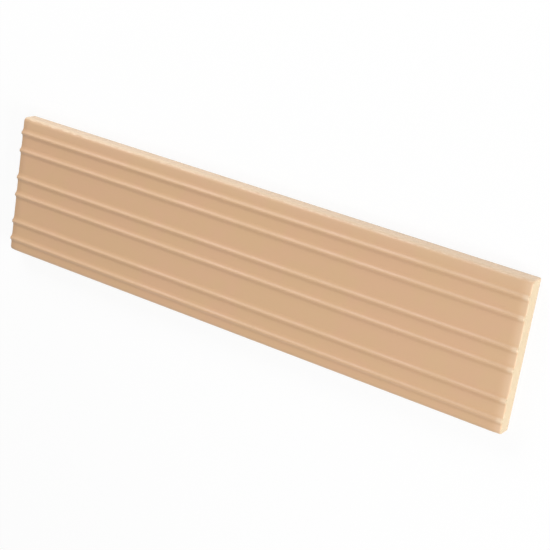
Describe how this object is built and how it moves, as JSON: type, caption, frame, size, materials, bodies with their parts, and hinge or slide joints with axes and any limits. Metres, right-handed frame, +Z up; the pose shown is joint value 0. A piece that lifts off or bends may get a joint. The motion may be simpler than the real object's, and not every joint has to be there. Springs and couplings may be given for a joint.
{
  "type": "ribbed ceramic wall tile",
  "caption": "Long plank-shaped ceramic wall tile in a satin tan glaze, its face raised in straight hollow-flanked ridges set in close pairs between flat panels.",
  "frame": {"origin": "middle of the tile's back, at floor height, as the tile lies face up", "axes": "+X along the tile's length, the way the ridges run; +Y across its width; +Z up, out of the ridged face"},
  "size_m": [0.3, 0.075, 0.0102],
  "materials": {
    "glaze": "satin"
  },
  "bodies": {
    "root": {"tile": "glaze"}
  },
  "joints": []
}
